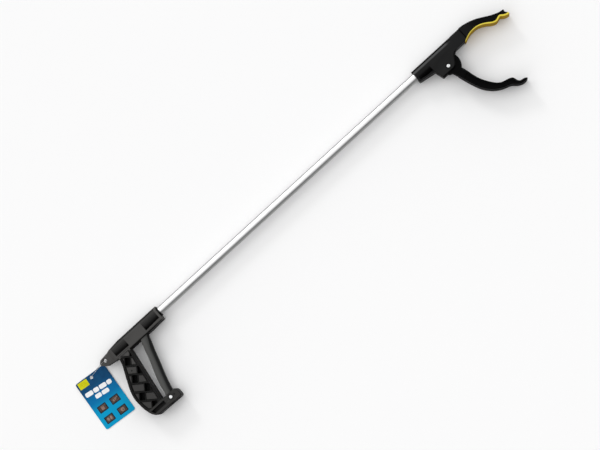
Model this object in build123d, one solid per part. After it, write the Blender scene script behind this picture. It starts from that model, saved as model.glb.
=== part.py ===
from build123d import *
import math
import os

# Reacher grabber, lying on its side. Millimetres.
# While it is modelled the tube's axis is the X axis, the jaws are at +X, the grip hangs towards -Y and
# the tool's middle plane is Z = 0. The last section moves every piece so that the origin is the middle
# of the underside.

# ---- driving dimensions ------------------------------------------------------------------------------
TUBE_R = 6.35
TUBE_WALL = 0.9
TUBE_START_X = -34.0
TUBE_END_X = 539.0

GRIP_HALF = 12.5                 # half the thickness of the grip, the foot and the jaws
BARREL_HALF = 11.5
BARREL_TOP_Y = 9.2
BARREL_BOTTOM_Y = -14.8
BARREL_FRONT_X = -7.0
BARREL_LIP = 2.0                 # the top corner of the front stands this much further forward
BORE_SKIN_R = 11.1               # outside of the round wall that shows in the barrel's side pockets
TAIL_HALF = 5.0
HANG_HOLE = (-116.0, -0.5)
HANG_HOLE_R = 3.2

TRIGGER_PIN = (-76.1, -108.9)
TRIGGER_HALF = 9.0
PIN_R = 2.2
CROSS_PIN_R = 2.0
ROD_R = 1.75
ROD_REST_X = -42.4               # where the rod is pinned to the trigger, on the tube's axis

JAW_PIN = (564.3, -22.1)
JAW_CLOSE_DEG = 49.3
JAW_HALF = 12.2
HUB_HALF = 6.0
HUB_R = 19.8
PLATE_HALF = 9.0
SOCKET_R = 9.8
HEAD_START_X = 517.0
BODY_END_X = 613.0
LINER_PROUD = (0.4, 1.3)         # the liner stands this much off the jaw, at its rear end and at the tip
LINER_SUNK = (0.3, 1.5)          # and is let into it by this much
JAW_RIM = 2.4                    # rim left beside the recesses in the jaws' sides

RUN_FIT = 0.05                   # radial clearance of a running fit
SLIDE_FIT = 0.08                 # radial clearance of the rod in its guides
SEAT_FIT = 0.05                  # clearance of a piece that is seated in another
GAP = 0.4                        # clearance between pieces that move past each other

# ---- worked out from them ----------------------------------------------------------------------------
LEVER_SWING = math.radians(JAW_CLOSE_DEG / 2)
LEVER_R = -JAW_PIN[1] / math.cos(LEVER_SWING)
LEVER_REST_X = JAW_PIN[0] + LEVER_R * math.sin(LEVER_SWING)
ROD_TRAVEL = 2 * LEVER_R * math.sin(LEVER_SWING)

BIG = 200.0                      # longer than anything that a cutter has to pass through


def slab(face, low, high):
    """The face, drawn in the XY plane, as a slab from Z = low to Z = high."""
    return extrude(Pos(0, 0, low) * face, amount=high - low, dir=(0, 0, 1))


def plate(face, half):
    return slab(face, -half, half)


def block(x0, x1, y0, y1, z0, z1):
    return Pos((x0 + x1) / 2, (y0 + y1) / 2, (z0 + z1) / 2) * Box(x1 - x0, y1 - y0, z1 - z0)


def rod_x(r, x0, x1, y=0.0, z=0.0):
    """A round bar along X."""
    return Pos((x0 + x1) / 2, y, z) * Rot(0, 90, 0) * Cylinder(r, x1 - x0)


def rod_z(r, centre, z0, z1):
    """A round bar along Z."""
    return Pos(centre[0], centre[1], (z0 + z1) / 2) * Cylinder(r, z1 - z0)


def on_both_sides(cutter):
    return cutter + mirror(cutter, about=Plane.XY)


def polar(centre, radius, degrees):
    angle = math.radians(degrees)
    return (centre[0] + radius * math.cos(angle), centre[1] + radius * math.sin(angle))


def beside(curve, distance, start=0.0, end=1.0, count=14, last_distance=None):
    """A smooth line beside the stretch of a curve, to its left where the distance is positive."""
    if last_distance is None:
        last_distance = distance
    points = []
    for step in range(count):
        share = step / (count - 1)
        t = start + (end - start) * share
        along = curve.tangent_at(t)
        away = distance + (last_distance - distance) * share
        points.append(curve.position_at(t) + Vector(-along.Y, along.X) * away)
    return Spline(*points)


def between(first, second):
    """The face between two lines that run the same way, closed by straight ends."""
    return make_face([first, Line(first @ 1, second @ 1), second, Line(second @ 0, first @ 0)])


def rounded(solid, radius, keep):
    """Fillet the edges that keep() picks."""
    return fillet(solid.edges().filter_by(keep), radius)


# ---- handle ------------------------------------------------------------------------------------------
GRIP_FRONT_TOP = (-74.4, -14.2)
GRIP_FRONT_FOOT = (-88.4, -100.0)
FOOT_END_X = -61.2
FOOT_TOP_Y = -102.4
FOOT_REAR_Y = -116.9
FOOT_BOTTOM_Y = -118.0
GRIP_ROUND = 1.8                 # round of the grip's and the foot's rims


def barrel():
    side = make_face(
        Polyline(
            (BARREL_FRONT_X, 3.0),
            (BARREL_FRONT_X + BARREL_LIP, BARREL_TOP_Y),
            (-80, BARREL_TOP_Y),
            (-100, 6.7),
            (-120.8, 4.4),
            (-125.0, 0.8),
            (-125.0, -3.2),
            (-120.4, -7.6),
            (-116.4, -10.0),
            (-99, -12.8),
            (-74.4, BARREL_BOTTOM_Y),
            (-38, BARREL_BOTTOM_Y),
            (BARREL_FRONT_X, -13.4),
            close=True,
        )
    )
    plan = make_face(
        Polyline(
            (BARREL_FRONT_X + BARREL_LIP, BARREL_HALF),
            (-99, BARREL_HALF),
            (-106, TAIL_HALF),
            (-125.0, TAIL_HALF),
            (-125.0, -TAIL_HALF),
            (-106, -TAIL_HALF),
            (-99, -BARREL_HALF),
            (BARREL_FRONT_X + BARREL_LIP, -BARREL_HALF),
            close=True,
        )
    )
    across = extrude(Rot(90, 0, 0) * plan, amount=BIG, both=True)
    # The section of the barrel: a round top and softened lower corners.
    top_round = 6.0
    bottom_round = 3.6
    half = BARREL_HALF
    section = make_face(
        [
            Line((half, BARREL_BOTTOM_Y + bottom_round), (half, BARREL_TOP_Y - top_round)),
            RadiusArc((half, BARREL_TOP_Y - top_round), (half - top_round, BARREL_TOP_Y), -top_round),
            Line((half - top_round, BARREL_TOP_Y), (top_round - half, BARREL_TOP_Y)),
            RadiusArc((top_round - half, BARREL_TOP_Y), (-half, BARREL_TOP_Y - top_round), -top_round),
            Line((-half, BARREL_TOP_Y - top_round), (-half, BARREL_BOTTOM_Y + bottom_round)),
            RadiusArc(
                (-half, BARREL_BOTTOM_Y + bottom_round), (bottom_round - half, BARREL_BOTTOM_Y), -bottom_round
            ),
            Line((bottom_round - half, BARREL_BOTTOM_Y), (half - bottom_round, BARREL_BOTTOM_Y)),
            RadiusArc(
                (half - bottom_round, BARREL_BOTTOM_Y), (half, BARREL_BOTTOM_Y + bottom_round), -bottom_round
            ),
        ]
    )
    along = extrude(Plane((0, 0, 0), x_dir=(0, 0, 1), z_dir=(-1, 0, 0)) * section, amount=BIG, both=True)
    return plate(side, BARREL_HALF + 1) & across & along


def grip_face():
    """The grip and the foot, seen from the side."""
    rear = Spline(
        (-97.2, -10),
        (-98.4, -20),
        (-103.9, -33.4),
        (-113.1, -53.4),
        (-119.2, -72),
        (-119.6, -86),
        (-116.6, -104),
        (-110.5, -114.4),
        (-101, FOOT_REAR_Y),
    )
    corner = 3.0
    return make_face(
        [
            rear,
            Line((-101, FOOT_REAR_Y), (FOOT_END_X - corner, FOOT_BOTTOM_Y)),
            RadiusArc((FOOT_END_X - corner, FOOT_BOTTOM_Y), (FOOT_END_X, FOOT_BOTTOM_Y + corner), -corner),
            Line((FOOT_END_X, FOOT_BOTTOM_Y + corner), (FOOT_END_X, -107.4)),
            RadiusArc((FOOT_END_X, -107.4), (-66.8, FOOT_TOP_Y), -5.1),
            Line((-66.8, FOOT_TOP_Y), (-86.8, FOOT_TOP_Y)),
            RadiusArc((-86.8, FOOT_TOP_Y), GRIP_FRONT_FOOT, 2.0),
            Line(GRIP_FRONT_FOOT, GRIP_FRONT_TOP),
            Line(GRIP_FRONT_TOP, (-74.4, -10)),
            Line((-74.4, -10), (-97.2, -10)),
        ]
    )


RIB_SLOPE_DEG = -37.0
RIB_T = 1.3
ROW_PITCH = 13.5
ROWS = 8
FIRST_ROW = -61.1                # place of row 0, measured square to the ribs
DEEP_CELL = 8.6
FIRST_DEEP = -60.9               # place of row 0's deep cell, along the ribs
ROW_SHIFT = 4.6
STAGGER = 13.3                   # every other row's deep cell is this much nearer the front edge
ROW_REACH = 60.0                 # longer than any row
SHALLOW_T = 3.6
PAD_DOWN = 1.2                   # a pad's face lies this far below the rim
PAD_MARGIN = 1.3                 # from a pad to the ribs beside it
PAD_INSET = 2.0                  # from a pad to the grip's rim
SMALLEST_CELL = 9.0              # square millimetres: a cell smaller than this is left solid


def lattice_field(inset=0.0):
    """The area inside the grip's rim that the core-outs may fill."""
    rear = Spline(
        (-94.2, -12.9),
        (-95.6, -20.5),
        (-100.8, -34.4),
        (-110.0, -55),
        (-116.0, -72.5),
        (-116.4, -86),
        (-113.7, -102.5),
    )
    front = Line((-76.9, -12.9), (-91.5, -102.5))
    if inset:
        rear = beside(rear, inset)
        front = Line((-76.9 - inset, -12.9), (-91.5 - inset, -102.5))
    return between(rear, front)


def lattice_row(row, margin=0.0):
    """One row between two ribs, and its deep cell, both less the margin on every side."""
    across = FIRST_ROW - row * ROW_PITCH
    deep = FIRST_DEEP + row * ROW_SHIFT + (row % 2 == 0) * STAGGER
    height = ROW_PITCH - RIB_T - 2 * margin
    turn = Rot(0, 0, RIB_SLOPE_DEG)
    band = turn * Pos(deep, across) * Rectangle(2 * ROW_REACH, height)
    cell = turn * Pos(deep, across) * Rectangle(DEEP_CELL + 2 * margin, height + 2 * margin + RIB_T)
    return band, cell


def large_faces(shape):
    return [face for face in shape.faces() if face.area > SMALLEST_CELL]


def grip_core_outs():
    """Each row is cored from both sides: its deep cell from the front, and the rest from the back.

    Seen from the front, the rest of the row is a shallow hollow with a raised pad in it.
    """
    top = GRIP_HALF + 1
    shallow_floor = GRIP_HALF - SHALLOW_T
    deep_floor = shallow_floor - 2.0
    wall = RIB_T / 2
    cutters = []
    for row in range(ROWS):
        band, cell = lattice_row(row)
        pad_band, pad_cell = lattice_row(row, PAD_MARGIN)
        for face in large_faces(cell & band & lattice_field()):
            cutters.append(slab(face, -deep_floor, top))
            cutters.append(slab(face, -top, -shallow_floor))
        wider = lattice_row(row, wall)[1]
        for face in large_faces((band & lattice_field()) - wider):
            hollow = slab(face, shallow_floor, top)
            for pad in ((pad_band & lattice_field(PAD_INSET)) - pad_cell).faces():
                hollow -= slab(pad, shallow_floor - 1, GRIP_HALF - PAD_DOWN)
            cutters.append(hollow)
            cutters.append(slab(face, -top, deep_floor))
    return cutters


TRIGGER_SLOT = (-74.6, -38.4)    # the opening in the barrel's underside
TRIGGER_ROOM_X = (-74.6, -35.5)
TRIGGER_ROOM_TOP_Y = 6.2
TRIGGER_ROOM_HALF = TRIGGER_HALF + 0.5
FOOT_ROOM_X = (-88.0, -65.5)
FOOT_SLOT_REAR_X = -84.5         # where the foot's room opens in the underside
SPRING_ROOM_END_X = -95.5
SPRING_ROOM_R = 5.2
HANDLE_SCREW_X = -18.0
SCREW_R = 1.45
SCREW_HEAD_R = 2.9
PIN_BORE_R = PIN_R + SEAT_FIT
COUNTERBORE_R = 4.3
COUNTERBORE_T = 1.6


def barrel_pocket(points):
    """A side pocket of the barrel, down to the round wall of the bore."""
    window = plate(make_face(Polyline(*points, close=True)), BARREL_HALF + 1)
    web = 1.2
    return window - rod_x(BORE_SKIN_R, -BIG, BIG) - block(-BIG, BIG, -BIG, BIG, -web, web)


def handle_body():
    grip = plate(grip_face(), GRIP_HALF)
    grip = rounded(grip, GRIP_ROUND, lambda e: abs(abs(e.center().Z) - GRIP_HALF) < 0.01)
    body = barrel() + grip
    pockets = [
        [(-97.4, 0.8), (-71.9, 0.8), (-71.9, -9.0), (-97.4, -7.6)],
        [(-37.9, 0.8), (-10.4, 0.8), (-10.4, -8.4), (-37.9, -9.8)],
    ]
    for points in pockets:
        body -= barrel_pocket(points)
    for cutter in grip_core_outs():
        body -= cutter

    # room for the trigger's fork, in the barrel, open below
    body -= block(*TRIGGER_ROOM_X, -11.4, TRIGGER_ROOM_TOP_Y, -TRIGGER_ROOM_HALF, TRIGGER_ROOM_HALF)
    body -= block(*TRIGGER_SLOT, -BARREL_HALF - 9, -11.3, -TRIGGER_ROOM_HALF, TRIGGER_ROOM_HALF)
    # room for the trigger's hub, in the foot, open above and below
    body -= block(*FOOT_ROOM_X, -114.4, FOOT_TOP_Y + 5, -TRIGGER_ROOM_HALF, TRIGGER_ROOM_HALF)
    body -= block(FOOT_SLOT_REAR_X, FOOT_ROOM_X[1], -120, -114, -TRIGGER_ROOM_HALF, TRIGGER_ROOM_HALF)

    # bore for the tube, the rod's way through its end wall, and the room for the return spring
    body -= rod_x(TUBE_R + SEAT_FIT, TUBE_START_X, BARREL_FRONT_X + BARREL_LIP + 1)
    body -= rod_x(COLLAR_R + SEAT_FIT, BARREL_FRONT_X - COLLAR_SEAT, BARREL_FRONT_X + BARREL_LIP + 1)
    body -= rod_x(ROD_R + GAP, TRIGGER_ROOM_X[1] - 1, TUBE_START_X + 1)
    body -= rod_x(SPRING_ROOM_R, SPRING_ROOM_END_X, TRIGGER_ROOM_X[0] + 1)

    # long pocket above the foot's bottom rim, from both sides
    pocket = make_face(
        Polyline((-113.2, -105.6), (-87.6, -105.6), (-87.6, -111.8), (-110.2, -111.8), close=True)
    )
    body -= on_both_sides(slab(pocket, 1.6, GRIP_HALF + 1))
    # hole and counterbores for the trigger's pin, and the mould's marks beside it and in a pad
    body -= rod_z(PIN_BORE_R, TRIGGER_PIN, -GRIP_HALF - 1, GRIP_HALF + 1)
    body -= on_both_sides(rod_z(COUNTERBORE_R, TRIGGER_PIN, GRIP_HALF - COUNTERBORE_T, GRIP_HALF + 1))
    body -= rod_z(1.6, (-69.4, -109.2), GRIP_HALF - 0.8, GRIP_HALF + 1)
    body -= rod_z(1.0, (-94.3, -40.2), GRIP_HALF - 3.0, GRIP_HALF + 1)
    # hanging hole, and the screw that holds the tube
    body -= rod_z(HANG_HOLE_R, HANG_HOLE, -BIG, BIG)
    body -= rod_z(SCREW_R + SEAT_FIT, (HANDLE_SCREW_X, 0), -BIG, -4)
    body -= rod_z(SCREW_HEAD_R + SEAT_FIT, (HANDLE_SCREW_X, 0), -BIG, -SCREW_SEAT_Z)
    return body


# ---- tube and what is in it --------------------------------------------------------------------------
COLLAR_R = 8.4
COLLAR_SEAT = 2.4
COLLAR_OUT = 3.0
GUIDE_R = TUBE_R - TUBE_WALL - SEAT_FIT
SCREW_SEAT_Z = 8.0
SCREW_END_Z = -4.6
HEAD_SCREW_X = 529.0


def tube():
    body = rod_x(TUBE_R, TUBE_START_X + SEAT_FIT, TUBE_END_X)
    body -= rod_x(TUBE_R - TUBE_WALL, TUBE_START_X - 1, TUBE_END_X + 1)
    for x in (HANDLE_SCREW_X, HEAD_SCREW_X):
        body -= rod_z(SCREW_R + SEAT_FIT, (x, 0), -BIG, -4)
    return body


def tube_collar():
    flange = rod_x(COLLAR_R, BARREL_FRONT_X - COLLAR_SEAT + SEAT_FIT, BARREL_FRONT_X + COLLAR_OUT)
    flange = rounded(flange, 0.9, lambda e: e.center().X > BARREL_FRONT_X + COLLAR_OUT - 0.1)
    return flange - rod_x(TUBE_R + SEAT_FIT, -BIG, BIG)


def rod_guide(x0):
    """A bush that keeps the rod in the middle of the tube, with a groove round it."""
    length = 8.0
    land = 3.0
    groove_t = 0.8
    guide = rod_x(GUIDE_R, x0, x0 + length) - rod_x(ROD_R + SLIDE_FIT, x0 - 1, x0 + length + 1)
    groove = rod_x(GUIDE_R + 1, x0 + land, x0 + length - land)
    return guide - (groove - rod_x(GUIDE_R - groove_t, x0 + land, x0 + length - land))


def tube_screw(x):
    """A pan-head screw with a cross recess, driven from the back."""
    head_t = 1.9
    head = rod_z(SCREW_HEAD_R, (x, 0), -SCREW_SEAT_Z - head_t, -SCREW_SEAT_Z)
    head = rounded(head, 1.0, lambda e: e.center().Z < -SCREW_SEAT_Z - head_t + 0.1)
    shank = rod_z(SCREW_R, (x, 0), -SCREW_SEAT_Z - 0.5, SCREW_END_Z)
    slot_t = 0.8
    recess = 1.0
    low = -SCREW_SEAT_Z - head_t
    cross = Pos(x, 0, low + recess / 2) * (Box(3.0, slot_t, recess) + Box(slot_t, 3.0, recess))
    return head + shank - cross


# ---- pull rod ----------------------------------------------------------------------------------------
END_HALF = 3.0                   # half width of a rod end, in Z
END_HALF_H = 3.5                 # half its height, in Y
FORK_GAP = END_HALF + GAP        # half the gap in a fork


def rod_end(x0, x1, pin_x, socket_x):
    """A block with rounded ends, a hole for its cross pin and a socket for the rod."""
    shape = Pos((x0 + x1) / 2, 0) * RectangleRounded(x1 - x0, 2 * END_HALF_H, 2.2)
    body = plate(shape, END_HALF)
    body = rounded(body, 0.5, lambda e: abs(abs(e.center().Z) - END_HALF) < 0.01)
    body -= rod_z(CROSS_PIN_R + SEAT_FIT, (pin_x, 0), -BIG, BIG)
    return body - rod_x(ROD_R + SEAT_FIT, *sorted(socket_x))


REAR_END_X = (ROD_REST_X - 8.0, ROD_REST_X + 5.0)
FRONT_END_X = (LEVER_REST_X - 9.0, LEVER_REST_X + 4.6)
ROD_START_X = ROD_REST_X + CROSS_PIN_R + 0.6
ROD_STOP_X = LEVER_REST_X - CROSS_PIN_R - 0.6
SPIGOT_R = 1.9
SPIGOT_L = 11.0


def pull_rod():
    body = rod_x(ROD_R, ROD_START_X, ROD_STOP_X)
    return chamfer(body.edges().filter_by(GeomType.CIRCLE), 0.3)


def rear_rod_end():
    body = rod_end(*REAR_END_X, ROD_REST_X, (ROD_START_X - SEAT_FIT, REAR_END_X[1] + 1))
    return body + rod_x(SPIGOT_R, REAR_END_X[0] - SPIGOT_L, REAR_END_X[0] + 1)


def front_rod_end():
    return rod_end(*FRONT_END_X, LEVER_REST_X, (FRONT_END_X[0] - 1, ROD_STOP_X + SEAT_FIT))


def cross_pin(x, half):
    body = rod_z(CROSS_PIN_R, (x, 0), -half, half)
    return chamfer(body.edges().filter_by(GeomType.CIRCLE), 0.3)


# ---- trigger -----------------------------------------------------------------------------------------
FORK_TIP_Y = 0.6
FORK_FLOOR_Y = -9.6
SLOT_HALF = CROSS_PIN_R + 0.3
TRIGGER_HUB_R = 7.2
HUB_DROP = 4.8                   # from the pin's axis to the underside of the trigger
FINGER_ROUND = 6.0
REAR_ROUND = 1.2


def trigger():
    pin_x, pin_y = TRIGGER_PIN
    ear = SLOT_HALF + 3.0
    rear = Spline(
        (-52.0, -9.0),
        (-56.4, -20.5),
        (-64.5, -46.4),
        (-72.5, -68.6),
        (-77.6, -87.5),
        (-80.9, -101.5),
        (pin_x - TRIGGER_HUB_R, pin_y),
        tangents=[(-0.35, -1), (0.15, -1)],
    )
    front = Spline(
        (pin_x + TRIGGER_HUB_R, pin_y),
        (-67.7, -100.4),
        (-63.0, -81.6),
        (-57.4, -64.6),
        (-51.4, -46.1),
        (-44.7, -26.1),
        (-39.4, -10.5),
        tangents=[(0.15, 1), (0.3, 1)],
    )
    side = make_face(
        [
            rear,
            ThreePointArc(
                (pin_x - TRIGGER_HUB_R, pin_y),
                (pin_x, pin_y - HUB_DROP),
                (pin_x + TRIGGER_HUB_R, pin_y),
            ),
            front,
            Line((-39.4, -10.5), (ROD_REST_X + ear, -6.0)),
            Line((ROD_REST_X + ear, -6.0), (ROD_REST_X + ear, FORK_TIP_Y)),
            Line((ROD_REST_X + ear, FORK_TIP_Y), (ROD_REST_X - ear, FORK_TIP_Y)),
            Line((ROD_REST_X - ear, FORK_TIP_Y), (ROD_REST_X - ear, -3.5)),
            Line((ROD_REST_X - ear, -3.5), (-52.0, -9.0)),
        ]
    )
    body = plate(side, TRIGGER_HALF)
    # the front edge, which the fingers pull, is well rounded, and the rear edge is eased
    body = rounded(
        body,
        FINGER_ROUND,
        lambda e: abs(abs(e.center().Z) - TRIGGER_HALF) < 0.01 and e.length > 60 and e.center().X > -59,
    )
    body = rounded(
        body,
        REAR_ROUND,
        lambda e: abs(abs(e.center().Z) - TRIGGER_HALF) < 0.01 and e.length > 60 and e.center().X < -62,
    )
    # the fork: open slots for the cross pin, which lean back as the trigger comes up
    body -= block(ROD_REST_X - 9, ROD_REST_X + 7, FORK_FLOOR_Y, 6, -FORK_GAP, FORK_GAP)
    slot = make_face(
        Polyline(
            (ROD_REST_X - SLOT_HALF, 2),
            (ROD_REST_X - SLOT_HALF - 0.75, -5.0),
            (ROD_REST_X + SLOT_HALF - 0.75, -5.0),
            (ROD_REST_X + SLOT_HALF, 2),
            close=True,
        )
    )
    body -= plate(slot, BIG)
    body -= rod_z(SLOT_HALF, (ROD_REST_X - 0.75, -4.8), -BIG, BIG)
    return body - rod_z(PIN_R + RUN_FIT, TRIGGER_PIN, -BIG, BIG)


# ---- pins and their clips ----------------------------------------------------------------------------
CLIP_T = 0.5


def pivot_pin(centre, half):
    """A steel pin with a low domed head on the front and a grooved tail for its clip."""
    head_r = 2.9
    dome = 0.9
    seat = half - COUNTERBORE_T + 0.01
    top = half + 0.1
    head = rounded(rod_z(head_r, centre, seat, top), dome, lambda e: e.center().Z > half)
    return rod_z(PIN_R, centre, -half + 0.3, top - dome) + head


def pin_clip(centre, half):
    """A push-on clip: a ring with six slits round its hole."""
    ring_r = 3.9
    slits = 6
    low = -half + COUNTERBORE_T - CLIP_T - SEAT_FIT
    ring = rod_z(ring_r, centre, low, low + CLIP_T) - rod_z(PIN_R + SEAT_FIT, centre, -BIG, BIG)
    slit = Pos(PIN_R + 0.5, 0) * Box(1.2, 0.5, BIG)
    for spoke in range(slits):
        ring -= Pos(centre[0], centre[1]) * Rot(0, 0, 360 / slits * spoke) * slit
    return ring


# ---- return spring -----------------------------------------------------------------------------------
SPRING_R = 3.6                   # to the middle of its wire
SPRING_WIRE_R = 0.5
SPRING_TURNS = 9
WASHER_T = 1.0
WASHER_R = 4.9
SEAT_HOLE_R = 2.4


def spring_seat():
    x0 = SPRING_ROOM_END_X + SEAT_FIT
    return rod_x(WASHER_R, x0, x0 + WASHER_T) - rod_x(SEAT_HOLE_R, x0 - 1, x0 + WASHER_T + 1)


def spring_washer():
    x1 = REAR_END_X[0] - SEAT_FIT
    return rod_x(WASHER_R - 0.5, x1 - WASHER_T, x1) - rod_x(SPIGOT_R + SEAT_FIT, x1 - 3, x1 + 1)


def return_spring():
    x0 = SPRING_ROOM_END_X + WASHER_T + SPRING_WIRE_R + 0.2
    x1 = REAR_END_X[0] - WASHER_T - SPRING_WIRE_R - 0.2
    coil = Helix(pitch=(x1 - x0) / SPRING_TURNS, height=x1 - x0, radius=SPRING_R)
    wire = sweep(Plane(coil @ 0, z_dir=coil % 0) * Circle(SPRING_WIRE_R), path=coil, is_frenet=True)
    return Pos(x0, 0, 0) * Rot(0, 90, 0) * wire


# ---- head and fixed jaw ------------------------------------------------------------------------------
HEAD_ROOM_X = (547.5, 584.9)
HEAD_ROOM_TOP_Y = 4.7
HEAD_ROOM_HALF = HUB_HALF + 0.35
TUBE_SEAT_X = TUBE_END_X + SEAT_FIT
CHEEK_REAR_X = 543.5
PLATE_TOP_Y = 3.6                # the plates leave the socket's ridge bare above this
SOCKET_END_X = 592.0
NECK_ROUND = 2.4
STEP_GROOVE_W = 1.3              # groove at the step from the neck to the jaw
STEP_GROOVE_T = 1.0
CHEEK_BEVEL = 1.8                # along the cheeks' front border
CHEEK_BEVEL_X = 568.0
LINER_POINTS = [
    (607.4, -12.6),
    (612.6, -10.2),
    (619.6, -7.9),
    (629.0, -6.9),
    (637.5, -8.1),
    (645.0, -11.3),
    (653.5, -17.2),
    (658.5, -20.2),
    (662.6, -20.8),
    (667.0, -19.6),
    (670.0, -18.6),
    (673.5, -20.8),
    (678.0, -23.6),
    (683.8, -24.4),
]


def fixed_jaw_outer():
    return Spline(
        (600.0, 9.5),
        (612.0, 9.3),
        (621.0, 8.5),
        (631.0, 6.0),
        (641.0, 2.3),
        (652.0, -3.6),
        (662.0, -9.2),
        (676.0, -14.6),
        tangents=[(1, 0), (1, -0.3)],
    )


def fixed_jaw_face():
    return make_face(
        [
            fixed_jaw_outer(),
            Line((676.0, -14.6), (681.0, -15.2)),
            Line((681.0, -15.2), (680.4, -19.4)),
            Line((680.4, -19.4), LINER_POINTS[-1]),
            Spline(*reversed(LINER_POINTS)),
            Line(LINER_POINTS[0], (600.0, -11.3)),
            Line((600.0, -11.3), (600.0, 9.5)),
        ]
    )


def plate_face():
    """The head's flat part: the cheeks for the jaw's hub and the neck of the fixed jaw."""
    return make_face(
        [
            Polyline(
                (CHEEK_REAR_X, PLATE_TOP_Y),
                (CHEEK_REAR_X, -15.3),
                (547.0, -29.4),
                (548.2, -30.2),
                (567.4, -30.2),
            ),
            TangentArc((567.4, -30.2), (575.0, -26.0), tangent=(1, 0)),
            Line((575.0, -26.0), (579.9, -18.9)),
            TangentArc((579.9, -18.9), (591.0, -11.7), tangent=(4.9, 7.1)),
            Line((591.0, -11.7), (BODY_END_X, -11.3)),
            Line((BODY_END_X, -11.3), (BODY_END_X, 9.2)),
            Line((BODY_END_X, 9.2), (594.0, 9.2)),
            Line((594.0, 9.2), (588.0, PLATE_TOP_Y)),
            Line((588.0, PLATE_TOP_Y), (CHEEK_REAR_X, PLATE_TOP_Y)),
        ]
    )


def head_body():
    socket = rod_x(SOCKET_R, HEAD_START_X, SOCKET_END_X) + Pos(SOCKET_END_X, 0, 0) * Sphere(SOCKET_R)
    jaw = plate(fixed_jaw_face(), GRIP_HALF) - block(590, BODY_END_X, -30, 30, -BIG, BIG)
    jaw = rounded(
        jaw,
        1.4,
        lambda e: abs(abs(e.center().Z) - GRIP_HALF) < 0.01 and e.length > 60 and e.center().Y > -8,
    )
    cheeks = plate(plate_face(), PLATE_HALF)
    rims = cheeks.edges().filter_by(lambda e: abs(abs(e.center().Z) - PLATE_HALF) < 0.01 and e.length < 16)
    cheeks = chamfer(rims.filter_by(lambda e: e.center().X > CHEEK_BEVEL_X), CHEEK_BEVEL)
    rims = cheeks.edges().filter_by(lambda e: abs(abs(e.center().Z) - PLATE_HALF) < 0.01 and e.length < 16)
    cheeks = fillet(rims.filter_by(lambda e: e.center().X < CHEEK_BEVEL_X), 0.8)
    cheeks = rounded(cheeks, NECK_ROUND, lambda e: e.center().Y > 9.1 and e.center().X < BODY_END_X - 1)
    cheeks -= on_both_sides(
        block(
            BODY_END_X - STEP_GROOVE_W,
            BODY_END_X + 1,
            -BIG,
            BIG,
            PLATE_HALF - STEP_GROOVE_T,
            PLATE_HALF + 1,
        )
    )
    socket -= on_both_sides(block(CHEEK_REAR_X, BODY_END_X, -BIG, BIG, PLATE_HALF, BIG))
    body = cheeks + socket + jaw

    # rear rim, lower flange and thin web that stiffen the socket
    rim_t = 3.0
    rim = block(HEAD_START_X, HEAD_START_X + rim_t, -10.9, 0, -PLATE_HALF, PLATE_HALF)
    flange = make_face(Polyline((517, -10.9), (544.5, -15.6), (544.5, -13.2), (517, -8.5), close=True))
    web = make_face(Polyline((518, -10), (544.5, -14.4), (544.5, 0), (518, 0), close=True))
    body = body + rim + plate(flange, PLATE_HALF) + plate(web, 1.4)

    # room for the hub, the rod's fitting and the fork, open below
    body -= block(*HEAD_ROOM_X, -BIG, HEAD_ROOM_TOP_Y, -HEAD_ROOM_HALF, HEAD_ROOM_HALF)
    rod_way = 4.2
    body -= block(TUBE_SEAT_X, HEAD_ROOM_X[0] + 1, -rod_way, rod_way, -rod_way, rod_way)
    body -= rod_x(TUBE_R + SEAT_FIT, HEAD_START_X - 1, TUBE_SEAT_X)

    # pin hole, counterbores, screw hole and the core-out in the back of the neck
    body -= rod_z(PIN_BORE_R, JAW_PIN, -BIG, BIG)
    body -= on_both_sides(rod_z(COUNTERBORE_R, JAW_PIN, PLATE_HALF - COUNTERBORE_T, PLATE_HALF + 1))
    body -= rod_z(SCREW_R + SEAT_FIT, (HEAD_SCREW_X, 0), -BIG, -4)
    body -= rod_z(SCREW_HEAD_R + SEAT_FIT, (HEAD_SCREW_X, 0), -BIG, -SCREW_SEAT_Z)
    body -= block(588, 610, -8.4, 6.4, -BIG, 6.4)

    # side recess along the outer half of the fixed jaw
    top = beside(fixed_jaw_outer(), -JAW_RIM, 0.56, 0.88)
    bottom = beside(Spline(*LINER_POINTS), JAW_RIM, 0.48, 0.77)
    body -= on_both_sides(slab(between(top, bottom), GRIP_HALF - 1.6, GRIP_HALF + 1))
    room_for_liner = (3.2, 3.2)
    return body - liner_strip(room_for_liner)


def liner_strip(proud):
    """From the floor of the liner's seat in the jaw out to this far off the jaw, at each end."""
    seam = Spline(*LINER_POINTS)
    inner = beside(seam, LINER_SUNK[0], count=24, last_distance=LINER_SUNK[1])
    outer = beside(seam, -proud[0], count=24, last_distance=-proud[1])
    return plate(between(inner, outer), GRIP_HALF)


def jaw_liner():
    return liner_strip(LINER_PROUD)


# ---- moving jaw --------------------------------------------------------------------------------------
ARM_START_R = 20.6               # the arm is full width outside this radius, clear of the cheeks
OUTER_EDGE_L = 125.0             # only the arm's outer edge is longer than this


def moving_jaw_outer():
    return Spline(
        (558.6, -27.0),
        (564.4, -41.1),
        (568.0, -53.0),
        (573.2, -69.0),
        (581.2, -84.6),
        (591.4, -95.4),
        (606.4, -103.6),
        (614.4, -106.6),
        (620.4, -112.1),
        (628.2, -116.2),
        (638.0, -115.8),
    )


def moving_jaw_inner():
    return Spline(
        (637.0, -114.9),
        (631.6, -112.2),
        (626.6, -110.8),
        (624.2, -107.2),
        (622.6, -101.6),
        (616.6, -97.7),
        (604.6, -94.0),
        (592.6, -81.4),
        (584.4, -65.9),
        (579.6, -47.5),
        (576.0, -35.0),
    )


def moving_jaw_face():
    return make_face(
        [
            moving_jaw_outer(),
            Line((638.0, -115.8), (637.0, -114.9)),
            moving_jaw_inner(),
            Line((576.0, -35.0), (570.0, -27.0)),
            Line((570.0, -27.0), (558.6, -27.0)),
        ]
    )


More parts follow.
